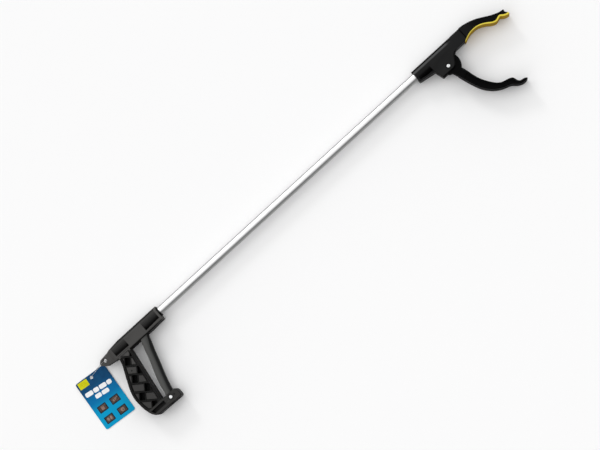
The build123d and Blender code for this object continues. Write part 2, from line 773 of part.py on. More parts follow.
def hub_sector():
    """The quarter of the hub that is full size, from the arm round to the lever."""
    first = -56.0
    last = 62.0
    return make_face(
        [
            Line(JAW_PIN, polar(JAW_PIN, HUB_R, first)),
            ThreePointArc(
                polar(JAW_PIN, HUB_R, first),
                polar(JAW_PIN, HUB_R, (first + last) / 2),
                polar(JAW_PIN, HUB_R, last),
            ),
            Line(polar(JAW_PIN, HUB_R, last), JAW_PIN),
        ]
    )


def moving_jaw():
    arm_face = moving_jaw_face()
    arm = plate(arm_face, JAW_HALF)
    arm = rounded(
        arm, 1.0, lambda e: abs(abs(e.center().Z) - JAW_HALF) < 0.01 and e.length > OUTER_EDGE_L
    )
    arm -= rod_z(ARM_START_R, JAW_PIN, -BIG, BIG)
    lower = beside(moving_jaw_outer(), JAW_RIM, 0.2, 0.88)
    upper = beside(moving_jaw_inner(), JAW_RIM, 0.88, 0.16)
    arm -= on_both_sides(slab(between(lower, upper), JAW_HALF - 2.2, BIG))

    lever_deg = 90 - JAW_CLOSE_DEG / 2
    lever_half = SLOT_HALF + 2.4
    lever_tip = LEVER_R + 0.9
    lever = Pos(lever_tip / 2, 0) * Rectangle(lever_tip, 2 * lever_half)
    lever = Pos(*JAW_PIN) * Rot(0, 0, lever_deg) * lever
    hub_face = hub_sector() + Pos(*JAW_PIN) * Circle(12.0) + lever
    neck = arm_face & Pos(*JAW_PIN) * Circle(ARM_START_R + 3)
    hub = plate(hub_face, HUB_HALF) + plate(neck, HUB_HALF)
    body = arm + hub

    # the fork: a gap for the rod's fitting and open slots for its cross pin
    frame = Pos(*JAW_PIN) * Rot(0, 0, lever_deg)
    slot_floor = LEVER_R * math.cos(LEVER_SWING) - 0.3
    slot = Pos((slot_floor + BIG) / 2, 0) * Rectangle(BIG - slot_floor, 2 * SLOT_HALF)
    tip_area = plate(frame * (Pos(LEVER_R, 0) * Circle(6)), BIG)
    body -= plate(frame * slot, BIG) & tip_area
    body -= rod_z(SLOT_HALF, polar(JAW_PIN, slot_floor, lever_deg), -BIG, BIG)
    gap_ring = plate(Pos(*JAW_PIN) * (Circle(LEVER_R + 3) - Circle(LEVER_R - 8)), FORK_GAP)
    body -= gap_ring & block(JAW_PIN[0] - 30, JAW_PIN[0] + 30, JAW_PIN[1] + 4, 30, -BIG, BIG)
    return body - rod_z(PIN_R + RUN_FIT, JAW_PIN, -BIG, BIG)


# ---- swing tag ---------------------------------------------------------------------------------------
CARD_W = 54.2
CARD_H = 83.6
CARD_T = 0.5
CARD_TURN_DEG = -6.0
CARD_SLOPE_DEG = 1.0
CARD_CENTRE = (-154.2, -39.5)
CARD_HOLE_UP = 36.6              # from the card's middle to its hole
CARD_HOLE_R = 2.6
LOOP_R = 0.4


def card_place():
    """Where the card lies: it slopes up from its bottom edge, on the floor, to the loop."""
    rise = CARD_H / 2 * math.sin(math.radians(CARD_SLOPE_DEG))
    place = Pos(CARD_CENTRE[0], CARD_CENTRE[1], -GRIP_HALF + CARD_T / 2 + rise)
    return place * Rot(0, 0, CARD_TURN_DEG) * Rot(CARD_SLOPE_DEG, 0, 0)


def tag_card():
    card = extrude(RectangleRounded(CARD_W, CARD_H, 3.0), amount=CARD_T / 2, both=True)
    card -= Pos(0, CARD_HOLE_UP) * Cylinder(CARD_HOLE_R, 4 * CARD_T)
    return card_place() * card


def tag_loop():
    """A loop from the hanging hole to the card's hole, closed by a small snap lock."""
    hole = (card_place() * Pos(0, CARD_HOLE_UP, 0)).position
    hang_x, hang_y = HANG_HOLE
    lock = Vector(-131.5, -1.8, 5.0)
    route = [
        lock,
        Vector(hang_x - 9, hang_y, 6.6),
        Vector(hang_x, hang_y, 7.2),
        Vector(hang_x, hang_y, hole.Z - 0.75),
        Vector(hole.X + 1.4, hole.Y + 0.2, hole.Z - 0.75),
        Vector(hole.X - 0.8, hole.Y, hole.Z + 1.8),
        lock + Vector(-2.2, -0.2, -1.2),
    ]
    path = FilletPolyline(*route, radius=[2.0, 1.6, 2.4, 0.9, 1.4])
    strand = sweep(Plane(path @ 0, z_dir=path % 0) * Circle(LOOP_R), path=path)
    barb = Pos(lock.X - 1.0, lock.Y, lock.Z - 0.5) * Rot(0, -28, 0) * Box(3.6, 1.8, 1.8)
    return strand + barb


# ---- every piece, in its own place -------------------------------------------------------------------
pieces = {
    "handle_body": handle_body(),
    "tube": tube(),
    "tube_collar": tube_collar(),
    "rear_rod_guide": rod_guide(TUBE_START_X + 2),
    "front_rod_guide": rod_guide(TUBE_END_X - 24),
    "handle_tube_screw": tube_screw(HANDLE_SCREW_X),
    "head_tube_screw": tube_screw(HEAD_SCREW_X),
    "head_body": head_body(),
    "jaw_liner": jaw_liner(),
    "jaw_pin": pivot_pin(JAW_PIN, PLATE_HALF),
    "jaw_pin_clip": pin_clip(JAW_PIN, PLATE_HALF),
    "moving_jaw": moving_jaw(),
    "trigger": trigger(),
    "trigger_pin": pivot_pin(TRIGGER_PIN, GRIP_HALF),
    "trigger_pin_clip": pin_clip(TRIGGER_PIN, GRIP_HALF),
    "pull_rod": pull_rod(),
    "rear_rod_end": rear_rod_end(),
    "front_rod_end": front_rod_end(),
    "rear_cross_pin": cross_pin(ROD_REST_X, TRIGGER_HALF - 0.4),
    "front_cross_pin": cross_pin(LEVER_REST_X, HUB_HALF - 0.1),
    "return_spring": return_spring(),
    "spring_seat": spring_seat(),
    "spring_washer": spring_washer(),
    "tag_card": tag_card(),
    "tag_loop": tag_loop(),
}

whole = Compound(children=[Compound(piece.solids()) for piece in pieces.values()]).bounding_box()
ORIGIN = Vector(whole.center().X, whole.center().Y, whole.min.Z)

os.makedirs("parts", exist_ok=True)
for name, piece in pieces.items():
    export_step(Compound(piece.solids()).moved(Pos(-ORIGIN)), f"parts/{name}.step")
print("origin", ORIGIN, "size", whole.size, "rod travel", ROD_TRAVEL)
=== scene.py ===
import math
import bmesh
import bpy
from mathutils import Matrix, Vector


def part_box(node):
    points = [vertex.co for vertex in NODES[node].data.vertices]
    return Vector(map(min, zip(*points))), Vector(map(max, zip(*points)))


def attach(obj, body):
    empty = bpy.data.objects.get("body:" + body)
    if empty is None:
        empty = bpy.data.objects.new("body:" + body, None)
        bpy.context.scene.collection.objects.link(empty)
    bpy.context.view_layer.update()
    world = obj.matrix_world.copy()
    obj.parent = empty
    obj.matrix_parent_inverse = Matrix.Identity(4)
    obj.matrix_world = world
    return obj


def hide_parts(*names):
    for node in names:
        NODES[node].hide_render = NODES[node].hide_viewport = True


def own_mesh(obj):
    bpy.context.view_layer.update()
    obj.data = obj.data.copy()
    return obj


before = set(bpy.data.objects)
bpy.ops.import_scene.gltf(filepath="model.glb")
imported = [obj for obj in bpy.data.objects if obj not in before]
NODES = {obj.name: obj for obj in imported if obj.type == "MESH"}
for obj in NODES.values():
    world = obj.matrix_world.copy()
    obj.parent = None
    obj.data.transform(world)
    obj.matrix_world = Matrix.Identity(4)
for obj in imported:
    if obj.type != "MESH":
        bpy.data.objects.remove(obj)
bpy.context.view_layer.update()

MM = 0.001
TUBE_LOW, TUBE_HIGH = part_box("tube")
TUBE_Y = (TUBE_LOW.y + TUBE_HIGH.y) / 2
MIDDLE_Z = (TUBE_LOW.z + TUBE_HIGH.z) / 2        # the tool's middle plane, where its moulds part


# ---- camera ------------------------------------------------------------------------------------------
CAMERA_AIM = Vector((-0.0129, -0.0474, 0))       # from the middle of the tube
CAMERA_BACK = Vector((0.0659, -0.3415, 2.7094))  # from where it looks to the camera
CAMERA_LENS = 109.07
TUBE_TILT_DEG = 42.39                            # the tube rises this much to the right in the picture


def make_camera():
    """A long lens above the tool, which leans from square by a few degrees."""
    middle = Vector(((TUBE_LOW.x + TUBE_HIGH.x) / 2, TUBE_Y, MIDDLE_Z)) + CAMERA_AIM
    back = CAMERA_BACK.normalized()
    along = Vector((1, 0, 0))
    along = (along - along.dot(back) * back).normalized()
    across = back.cross(along)
    tilt = math.radians(TUBE_TILT_DEG)
    right = math.cos(tilt) * along - math.sin(tilt) * across
    up = math.sin(tilt) * along + math.cos(tilt) * across
    data = bpy.data.cameras.new("camera")
    data.lens = CAMERA_LENS
    data.clip_end = 20
    camera = bpy.data.objects.new("camera", data)
    bpy.context.scene.collection.objects.link(camera)
    turn = Matrix((right, up, back)).transposed().to_4x4()
    camera.matrix_world = Matrix.Translation(middle + CAMERA_BACK) @ turn
    bpy.context.scene.camera = camera


# ---- node helpers ------------------------------------------------------------------------------------
class Surface:
    """A material on one Principled shader, with short calls for the nodes that the surfaces share."""

    def __init__(self, name, **sockets):
        self.material = bpy.data.materials.new(name)
        self.material.use_nodes = True
        self.tree = self.material.node_tree
        self.shader = self.tree.nodes["Principled BSDF"]
        self.set(**sockets)
        self.place = self.node("ShaderNodeTexCoord").outputs["Object"]

    def set(self, **sockets):
        for name, value in sockets.items():
            self.feed(self.shader.inputs[name.replace("_", " ")], value)

    def feed(self, socket, value):
        if isinstance(value, bpy.types.NodeSocket):
            self.tree.links.new(value, socket)
        elif isinstance(value, tuple) and len(value) == 3 and socket.type == "RGBA":
            socket.default_value = (*value, 1)
        else:
            socket.default_value = value

    def node(self, kind, inputs=None, **settings):
        node = self.tree.nodes.new(kind)
        for name, value in settings.items():
            setattr(node, name, value)
        for name, value in (inputs or {}).items():
            self.feed(node.inputs[name], value)
        return node

    def noise(self, size, detail=3.0, stretch=(1, 1, 1), rough=0.5, offset=(0, 0, 0)):
        """Noise whose features are about that many metres across, longer along a stretched axis."""
        inputs = {"Vector": self.place, "Scale": tuple(1 / s for s in stretch), "Location": offset}
        place = self.node("ShaderNodeMapping", inputs).outputs[0]
        inputs = {"Vector": place, "Scale": 1 / size, "Detail": detail, "Roughness": rough}
        return self.node("ShaderNodeTexNoise", inputs).outputs["Fac"]

    def cells(self, size, stretch=(1, 1, 1)):
        inputs = {"Vector": self.place, "Scale": tuple(1 / s for s in stretch)}
        place = self.node("ShaderNodeMapping", inputs).outputs[0]
        return self.node("ShaderNodeTexVoronoi", {"Vector": place, "Scale": 1 / size}).outputs["Distance"]

    def math(self, operation, a, b=0.0):
        return self.node("ShaderNodeMath", {0: a, 1: b}, operation=operation).outputs[0]

    def remap(self, value, low, high, to_low=0.0, to_high=1.0):
        inputs = {"Value": value, "From Min": low, "From Max": high, "To Min": to_low, "To Max": to_high}
        return self.node("ShaderNodeMapRange", inputs, interpolation_type="SMOOTHSTEP").outputs[0]

    def mix(self, factor, a, b):
        inputs = {"Factor": factor, 6: a, 7: b}
        return self.node("ShaderNodeMix", inputs, data_type="RGBA").outputs[2]

    def normal(self):
        return self.node("ShaderNodeNewGeometry").outputs["Normal"]

    def axis(self, name):
        return self.node("ShaderNodeSeparateXYZ", {0: self.place}).outputs[name]

    def less(self, a, b):
        return self.math("SUBTRACT", a, b)

    def times(self, a, b):
        return self.math("MULTIPLY", a, b)

    def from_middle(self):
        """How far each point is from the tool's middle plane, to either side."""
        return self.math("ABSOLUTE", self.less(self.axis("Z"), MIDDLE_Z))

    def over_tube(self):
        """How far each point is from the tube's axis, towards +Y."""
        return self.less(self.axis("Y"), TUBE_Y)

    def band(self, value, centre, half, soft):
        """1 within half of the centre, falling smoothly to 0 over the next stretch."""
        away = self.math("ABSOLUTE", self.less(value, centre))
        return self.remap(away, half, half + soft, 1.0, 0.0)

    def soft_edges(self, radius):
        """Normals that round every edge off."""
        return self.node("ShaderNodeBevel", {"Radius": radius}, samples=6).outputs[0]

    def near_edge(self, bevel):
        """How near an edge each point is, from how far its rounded normal has turned."""
        inputs = {0: bevel, 1: self.normal()}
        dot = self.node("ShaderNodeVectorMath", inputs, operation="DOT_PRODUCT").outputs["Value"]
        return self.remap(dot, 0.995, 0.8, 0.0, 1.0)

    def bump(self, height, depth, normal=None, strength=1.0):
        inputs = {"Height": height, "Distance": depth, "Strength": strength}
        if normal is not None:
            inputs["Normal"] = normal
        return self.node("ShaderNodeBump", inputs).outputs[0]


# ---- materials ---------------------------------------------------------------------------------------
# Heights are from the tube's axis along Y, and faces from the tool's middle plane.
GRIP_TOP = -0.0155
GRIP_FOOT = -0.102
PAD_FACE = 0.0113
PAD_FADE = -0.055                                # the painted light on the pads is brightest above this
FOOT_FACE = 0.0124
FOOT_BOTTOM = -0.118
POCKETS = ((-0.0507, 0.0128), (0.0098, 0.0138))  # middle and half-length, from the tube's rear end
# the painted shade over the barrel's pockets lies between these heights
POCKET_LOW = -0.0090
POCKET_HIGH = 0.0062
BARREL_FRONT = TUBE_LOW.x + 0.027
TRIGGER_LEAN_DEG = 18.0                          # the trigger leans forward by this much at rest
TRIGGER_LIT = (0.0022, -0.0045)               # where its painted light starts, and is brightest, from its pin
# where the painted shade stripe runs across the trigger, from its pin
TRIGGER_STRIPE = 0.0038
RIDGE_LOW = 0.0032                               # the painted highlight along the ridge of the head's socket
RIDGE_HIGH = 0.0056
RIDGE_END = TUBE_HIGH.x + 0.050
RIDGE_FADE = 0.008
STEP_GROOVE = TUBE_HIGH.x + 0.0734               # the groove between the head's neck and the fixed jaw, painted in shade
# the painted shade on the fixed jaw's sides deepens between these
JAW_DARKENS = (TUBE_HIGH.x + 0.082, TUBE_HIGH.x + 0.098)
CHEEK_FACE = 0.0098


def shades(colour, factor):
    return tuple(min(1.0, c * factor) for c in colour)


def grip_tones(s, colour):
    """Painted light on the pads, brightest towards the top, and painted shade on the ribs and the cells
    between them.
    """
    on_pads = s.band(s.from_middle(), PAD_FACE, 0.0003, 0.0002)
    # painted light: the pads grow paler towards the top of the grip
    height = s.remap(s.over_tube(), PAD_FADE, GRIP_TOP)
    pads = s.mix(height, shades(colour, 0.8), shades(colour, 1.3))
    # painted shade on the ribs and everything off the pads' face
    return s.mix(on_pads, shades(colour, 0.07), pads)


def foot_tones(s, colour):
    """Grey sides, painted shade in the pocket and painted light on the underside."""
    on_sides = s.remap(s.from_middle(), FOOT_FACE - 0.0005, FOOT_FACE)
    # painted shade in the pocket below the sides' face
    foot = s.mix(on_sides, shades(colour, 0.12), shades(colour, 0.5))
    underside = s.remap(s.over_tube(), FOOT_BOTTOM + 0.0006, FOOT_BOTTOM + 0.0003)
    # painted light on the underside
    return s.mix(underside, foot, shades(colour, 1.1))


def barrel_tones(s, body, colour):
    """Painted shade over the pockets in the sides, darkest at the bottom, and a painted highlight on the
    front rim.
    """
    height = s.over_tube()
    above_low = s.remap(height, POCKET_LOW, POCKET_LOW + 0.0006)
    under_high = s.remap(height, POCKET_HIGH, POCKET_HIGH - 0.0017)
    level = s.times(above_low, under_high)
    # painted shade over the pockets, darkest at the bottom
    pocket_shade = s.mix(s.remap(height, -0.0055, 0.004), shades(colour, 0.1), shades(colour, 0.6))
    for middle, half in POCKETS:
        along = s.band(s.axis("X"), TUBE_LOW.x + middle, half - 0.0002, 0.0004)
        body = s.mix(s.times(along, level), body, pocket_shade)
    # painted highlight on the barrel's front rim
    at_front = s.remap(s.axis("X"), BARREL_FRONT - 0.004, BARREL_FRONT - 0.001)
    in_barrel = s.remap(height, GRIP_TOP, GRIP_TOP + 0.0005)
    return s.mix(s.times(at_front, in_barrel), body, shades(colour, 1.5))


def handle_zones(s, body, colour):
    height = s.over_tube()
    in_grip = s.band(height, (GRIP_TOP + GRIP_FOOT) / 2, (GRIP_TOP - GRIP_FOOT) / 2, 0.001)
    in_foot = s.remap(height, GRIP_FOOT, GRIP_FOOT - 0.001)
    body = s.mix(in_grip, barrel_tones(s, body, colour), grip_tones(s, colour))
    return s.mix(in_foot, body, foot_tones(s, colour))


def trigger_zones(s, body, colour):
    """Painted light along the rear of its sides, and a painted shade stripe behind the rounded front."""
    low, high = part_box("trigger_pin")
    lean = math.radians(TRIGGER_LEAN_DEG)
    forward = s.times(s.less(s.axis("X"), (low.x + high.x) / 2), math.cos(lean))
    up = s.times(s.less(s.axis("Y"), (low.y + high.y) / 2), math.sin(lean))
    across = s.less(forward, up)
    # painted light along the rear of the sides
    body = s.mix(s.remap(across, *TRIGGER_LIT), body, shades(colour, 1.9))
    # painted shade stripe behind the rounded front
    return s.mix(s.band(across, TRIGGER_STRIPE, 0.0006, 0.0012), body, shades(colour, 0.1))


def head_zones(s, body, colour):
    """The fixed jaw's sides in painted shade that deepens outwards, beyond a groove painted in shade, and a
    painted highlight along the socket's ridge.
    """
    # painted shade on the fixed jaw's sides, deepening towards its tip
    jaw = s.mix(s.remap(s.axis("X"), *JAW_DARKENS), shades(colour, 0.6), shades(colour, 0.08))
    body = s.mix(s.remap(s.from_middle(), CHEEK_FACE, CHEEK_FACE + 0.0008), body, jaw)
    # painted highlight along the socket's ridge
    ridge = s.band(s.over_tube(), (RIDGE_LOW + RIDGE_HIGH) / 2, (RIDGE_HIGH - RIDGE_LOW) / 2, 0.0012)
    behind = s.remap(s.axis("X"), RIDGE_END, RIDGE_END - RIDGE_FADE)
    body = s.mix(s.times(ridge, behind), body, shades(colour, 4.2))
    # painted shade in the groove before the fixed jaw
    return s.mix(s.band(s.axis("X"), STEP_GROOVE, 0.0006, 0.0003), body, shades(colour, 0.1))


def moulded_plastic(name, colour, rough, specular, wear=0.3, rounds=0.3, along_x=False, zones=None):
    """Moulded plastic: grained flats, rounds in painted shade, flow marks, edge wear and fine scuffs.

    Sloping faces are darkened by the factor rounds as painted shade, and where along_x is true only the
    slopes towards the tool's long sides count. zones() adds a moulding's painted light and shade.
    """
    s = Surface(name, Specular_IOR_Level=specular)
    bevel = s.soft_edges(0.0005)
    edge = s.near_edge(bevel)
    flow = s.noise(0.03, 2, (3, 1, 1))
    cloud = s.noise(0.008, 3)
    scuff = s.remap(s.noise(0.0011, 2, (9, 1, 4), 0.6), 0.66, 0.74)
    scratch = s.remap(s.noise(0.0006, 2, (1, 22, 6), 0.5, (0.3, 0, 0)), 0.70, 0.76)
    marks = s.math("MAXIMUM", scuff, s.times(scratch, 0.7))
    patchy = s.remap(s.noise(0.02, 2, (1, 1, 1), 0.5, (1.7, 0, 0)), 0.42, 0.62)
    marks = s.times(marks, patchy)
    pale = tuple(c * 2.4 + 0.008 for c in colour)
    body = s.mix(s.remap(flow, 0.3, 0.7), shades(colour, 0.75), shades(colour, 1.2))
    inputs = {0: s.normal(), 1: (0, 1, 0) if along_x else (1, 1, 0)}
    sideways = s.node("ShaderNodeVectorMath", inputs, operation="MULTIPLY").outputs[0]
    slope = s.node("ShaderNodeVectorMath", {0: sideways}, operation="LENGTH").outputs["Value"]
    # painted shade: sloping faces darkened by the factor rounds
    body = s.mix(s.remap(slope, 0.2, 0.6), body, shades(colour, rounds))
    if zones:
        body = zones(s, body, colour)
    worn = s.times(edge, s.remap(cloud, 0.38, 0.62, 0.25 * wear, wear))
    body = s.mix(s.times(marks, 0.35), body, pale)
    s.set(Base_Color=s.mix(worn, body, pale))
    polish = s.times(s.remap(cloud, 0.35, 0.7), 0.08)
    roughness = s.less(rough, polish)
    roughness = s.less(roughness, s.times(edge, 0.08))
    s.set(Roughness=s.math("ADD", roughness, s.times(marks, 0.12)))
    grains = s.noise(0.00035, 2, (1, 1, 1), 0.65)
    parting = s.band(s.axis("Z"), MIDDLE_Z, 0.00006, 0.00012)
    height = s.math("ADD", grains, s.times(parting, 2.0))
    height = s.less(height, s.times(marks, 0.3))
    s.set(Normal=s.bump(height, 0.00002, bevel))
    return s.material


def drawn_aluminium():
    """Satin anodised tube, with fine lines along it from drawing and a few handling marks."""
    s = Surface("satin_aluminium", Metallic=1.0)
    lines = s.noise(0.00022, 3, (600, 1, 1), 0.6)
    broad = s.noise(0.0011, 2, (260, 1, 1), 0.5)
    cloud = s.noise(0.05, 3, (3, 1, 1))
    nick = s.remap(s.noise(0.0022, 3, (1, 3, 3), 0.7), 0.72, 0.78)
    base = s.mix(s.remap(broad, 0.3, 0.7), (0.84, 0.845, 0.85), (0.92, 0.92, 0.915))
    base = s.mix(s.times(nick, 0.5), base, (0.62, 0.63, 0.64))
    s.set(Base_Color=base)
    rough = s.remap(lines, 0.25, 0.75, 0.22, 0.36)
    rough = s.math("ADD", rough, s.remap(cloud, 0.3, 0.7, 0.0, 0.05))
    s.set(Roughness=s.math("ADD", rough, s.times(nick, 0.1)))
    height = s.math("ADD", lines, s.times(broad, 0.6))
    s.set(Normal=s.bump(s.less(height, nick), 0.000006))
    return s.material


def bright_metal(name, colour, rough, grain=0.0002, stretch=(1, 1, 1)):
    s = Surface(name, Metallic=1.0)
    bevel = s.soft_edges(0.00025)
    lines = s.noise(grain, 3, stretch, 0.6)
    cloud = s.noise(0.002, 3)
    dull = tuple(c * 0.72 for c in colour)
    s.set(Base_Color=s.mix(s.remap(cloud, 0.35, 0.7), colour, dull))
    s.set(Roughness=s.remap(lines, 0.25, 0.75, rough * 0.7, rough * 1.4))
    s.set(Normal=s.bump(lines, 0.000004, bevel))
    return s.material


def liner_rubber():
    """Soft yellow rubber, slightly dusty, finely grained."""
    s = Surface("yellow_rubber", Specular_IOR_Level=0.2)
    bevel = s.soft_edges(0.0005)
    cloud = s.noise(0.006, 4)
    specks = s.remap(s.noise(0.0009, 3, (1, 1, 1), 0.7), 0.68, 0.75)
    side = s.remap(s.node("ShaderNodeSeparateXYZ", {0: s.normal()}).outputs["Z"], 0.3, 0.8)
    # painted light and shade: faces turned up get a paler lit yellow, the gripping face a deeper shaded gold
    face = s.mix(s.remap(cloud, 0.3, 0.7), (0.62, 0.35, 0.006), (0.78, 0.48, 0.01))
    rim = s.mix(s.remap(cloud, 0.3, 0.7), (0.70, 0.56, 0.045), (0.80, 0.67, 0.08))
    colour = s.mix(side, face, rim)
    s.set(Base_Color=s.mix(s.times(specks, 0.35), colour, (0.25, 0.17, 0.03)))
    s.set(Roughness=s.remap(cloud, 0.3, 0.7, 0.46, 0.62))
    grains = s.noise(0.0003, 2, (1, 1, 1), 0.6)
    s.set(Normal=s.bump(grains, 0.00003, bevel))
    return s.material


def nylon(name, colour, clear=0.0):
    s = Surface(name, Transmission_Weight=clear, IOR=1.5)
    bevel = s.soft_edges(0.0003)
    cloud = s.noise(0.004, 3)
    s.set(Base_Color=s.mix(s.remap(cloud, 0.3, 0.7), colour, tuple(c * 0.9 for c in colour)))
    s.set(Roughness=s.remap(cloud, 0.3, 0.7, 0.25, 0.4))
    s.set(Normal=s.bump(s.noise(0.0004, 2), 0.00001, bevel))
    return s.material


# ---- light and floor ---------------------------------------------------------------------------------
def soft_sun(name, towards, strength, spread_deg):
    """A large soft light, far away: towards points from the object to the light."""
    data = bpy.data.lights.new(name, "SUN")
    data.energy = strength
    data.angle = math.radians(spread_deg)
    light = bpy.data.objects.new(name, data)
    bpy.context.scene.collection.objects.link(light)
    light.rotation_euler = Vector(towards).to_track_quat("Z", "Y").to_euler()


def make_lights():
    """Two soft lights on the barrel's side, in a bright room that is dark low down towards -Y."""
    soft_sun("key_light", (-0.35, 0.45, 0.82), 0.34, 40)
    soft_sun("ridge_light", (0.1, 0.88, 0.46), 0.5, 12)
    world = bpy.data.worlds.new("studio")
    world.use_nodes = True
    tree = world.node_tree
    place = tree.nodes.new("ShaderNodeTexCoord").outputs["Generated"]
    parts = tree.nodes.new("ShaderNodeSeparateXYZ")
    tree.links.new(place, parts.inputs[0])
    reach = tree.nodes.new("ShaderNodeMapRange")
    reach.interpolation_type = "SMOOTHSTEP"
    reach.inputs["From Min"].default_value = -0.9
    reach.inputs["From Max"].default_value = -0.15
    reach.inputs["To Min"].default_value = 0.1
    reach.inputs["To Max"].default_value = 1.04
    tree.links.new(parts.outputs["Y"], reach.inputs["Value"])
    tree.links.new(reach.outputs[0], tree.nodes["Background"].inputs["Strength"])
    tree.nodes["Background"].inputs["Color"].default_value = (1, 1, 1, 1)
    bpy.context.scene.world = world
    bpy.context.scene.view_settings.view_transform = "Standard"


def make_floor():
    half = 5.0
    mesh = bpy.data.meshes.new("floor")
    corners = [(-half, -half, 0), (half, -half, 0), (half, half, 0), (-half, half, 0)]
    mesh.from_pydata(corners, [], [(0, 1, 2, 3)])
    floor = bpy.data.objects.new("floor", mesh)
    bpy.context.scene.collection.objects.link(floor)
    floor.location.z = -0.0003
    paper = Surface("floor_paper", Roughness=1.0, Specular_IOR_Level=0.0)
    shade = paper.noise(0.6, 3)
    pale = paper.mix(shade, (0.93, 0.93, 0.932), (0.95, 0.95, 0.95))
    bounce = (0.38, 0.38, 0.38)                  # the light it gives back to the object is dimmer
    seen = paper.node("ShaderNodeLightPath").outputs["Is Camera Ray"]
    paper.set(Base_Color=paper.mix(seen, bounce, pale))
    mesh.materials.append(paper.material)


# ---- finishing the modelled pieces -------------------------------------------------------------------
def dress(material, *names):
    for name in names:
        for slot in NODES[name].material_slots:
            slot.link = "OBJECT"
            slot.material = material


def make_spring(material):
    """The return spring's coils: a copy of the modelled spring, fixed to the frame."""
    node = NODES["return_spring"]
    coils = bpy.data.objects.new("spring_coils", node.data.copy())
    bpy.context.scene.collection.objects.link(coils)
    coils.matrix_world = node.matrix_world
    coils.data.materials.clear()
    coils.data.materials.append(material)
    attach(coils, "frame")
    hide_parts("return_spring")
    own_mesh(coils)


def dress_nodes():
    charcoal = (0.049, 0.0475, 0.046)
    grey_black = (0.038, 0.0385, 0.037)
    soft_black = (0.0125, 0.0125, 0.0127)
    trim_black = (0.006, 0.006, 0.0065)
    deep_black = (0.0016, 0.0016, 0.0017)
    handle = moulded_plastic(
        "handle_plastic", charcoal, 0.42, 0.14, rounds=0.12, along_x=True, zones=handle_zones
    )
    dress(handle, "handle_body")
    lever = moulded_plastic("trigger_plastic", grey_black, 0.4, 0.16, rounds=0.12, zones=trigger_zones)
    dress(lever, "trigger")
    dress(moulded_plastic("trim_plastic", trim_black, 0.4, 0.2), "tube_collar")
    dress(moulded_plastic("head_plastic", soft_black, 0.26, 0.055, zones=head_zones), "head_body")
    dress(moulded_plastic("jaw_plastic", deep_black, 0.45, 0.03), "moving_jaw")
    dress(drawn_aluminium(), "tube")
    dress(liner_rubber(), "jaw_liner")
    bright = bright_metal("bright_steel", (0.82, 0.83, 0.84), 0.2)
    dress(bright, "jaw_pin", "jaw_pin_clip", "trigger_pin", "trigger_pin_clip", "pull_rod",
          "rear_cross_pin", "front_cross_pin", "handle_tube_screw", "head_tube_screw",
          "spring_seat", "spring_washer")
    make_spring(bright_metal("spring_steel", (0.5, 0.5, 0.52), 0.3))
    natural = nylon("natural_nylon", (0.78, 0.76, 0.70))
    dress(natural, "rear_rod_guide", "front_rod_guide", "rear_rod_end", "front_rod_end")
    dress(nylon("clear_nylon", (0.9, 0.9, 0.9), 0.92), "tag_loop")


# ---- swing tag ---------------------------------------------------------------------------------------
CARD_TURN_DEG = -6.0
CARD_SLOPE_DEG = 1.0
CARD_T = 0.5 * MM
INK_T = 0.03 * MM                                # each printed layer stands this much above the last
CARD_H = 83.6 * MM


def card_matrix():
    """The card's own frame: its middle, with X across it and Y up it."""
    low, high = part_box("tag_card")
    turn = Matrix.Rotation(math.radians(CARD_TURN_DEG), 4, "Z")
    slope = Matrix.Rotation(math.radians(CARD_SLOPE_DEG), 4, "X")
    return Matrix.Translation((low + high) / 2) @ turn @ slope


def rounded_outline(width, height, radius, steps=6):
    points = []
    corners = [(1, 1, 0), (-1, 1, 90), (-1, -1, 180), (1, -1, 270)]
    for sx, sy, start in corners:
        for step in range(steps + 1):
            angle = math.radians(start + 90 * step / steps)
            x = sx * (width / 2 - radius) + radius * math.cos(angle)
            y = sy * (height / 2 - radius) + radius * math.sin(angle)
            points.append((x, y))
    return points


def oval_outline(width, height, steps=28):
    turns = [2 * math.pi * step / steps for step in range(steps)]
    return [(width / 2 * math.cos(a), height / 2 * math.sin(a)) for a in turns]


class Artwork:
    """One printed colour: flat shapes, all in millimetres on the card, joined in one thin piece."""

    def __init__(self, name, layer, material):
        self.name = name
        self.low = CARD_T / 2 + (layer - 1) * INK_T
        self.high = CARD_T / 2 + layer * INK_T
        self.material = material
        self.mesh = bmesh.new()

    def shape(self, outline, x, y, turn_deg=0.0):
        turn = Matrix.Rotation(math.radians(turn_deg), 2)
        spots = [turn @ Vector(point) + Vector((x, y)) for point in outline]
        rings = []
        for level in (self.low, self.high):
            rings.append([self.mesh.verts.new((p.x * MM, p.y * MM, level)) for p in spots])
        bottom, top = rings
        self.mesh.faces.new(top)
        self.mesh.faces.new(list(reversed(bottom)))
        count = len(spots)
        for i in range(count):
            j = (i + 1) % count
            self.mesh.faces.new((bottom[i], bottom[j], top[j], top[i]))

    def done(self):
        data = bpy.data.meshes.new(self.name)
        self.mesh.to_mesh(data)
        self.mesh.free()
        data.transform(card_matrix())
        data.materials.append(self.material)
        piece = bpy.data.objects.new(self.name, data)
        bpy.context.scene.collection.objects.link(piece)
        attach(piece, "tag")
        return piece


def ink(name, colour, mottle=0.15, rough=0.4):
    """Printed ink on card: a faint dot screen, slight mottling and the card's fibres."""
    s = Surface(name, Specular_IOR_Level=0.06)
    cloud = s.noise(0.004, 3)
    dots = s.remap(s.cells(0.00035), 0.15, 0.5)
    pale = tuple(min(1.0, c * (1 + mottle) + 0.01) for c in colour)
    deep = tuple(c * (1 - mottle) for c in colour)
    base = s.mix(s.remap(cloud, 0.3, 0.7), deep, pale)
    s.set(Base_Color=s.mix(s.times(dots, 0.12), base, pale))
    s.set(Roughness=s.remap(cloud, 0.3, 0.7, rough, rough + 0.12))
    s.set(Normal=s.bump(s.noise(0.0004, 3, (1, 3, 1)), 0.00001))
    return s.material


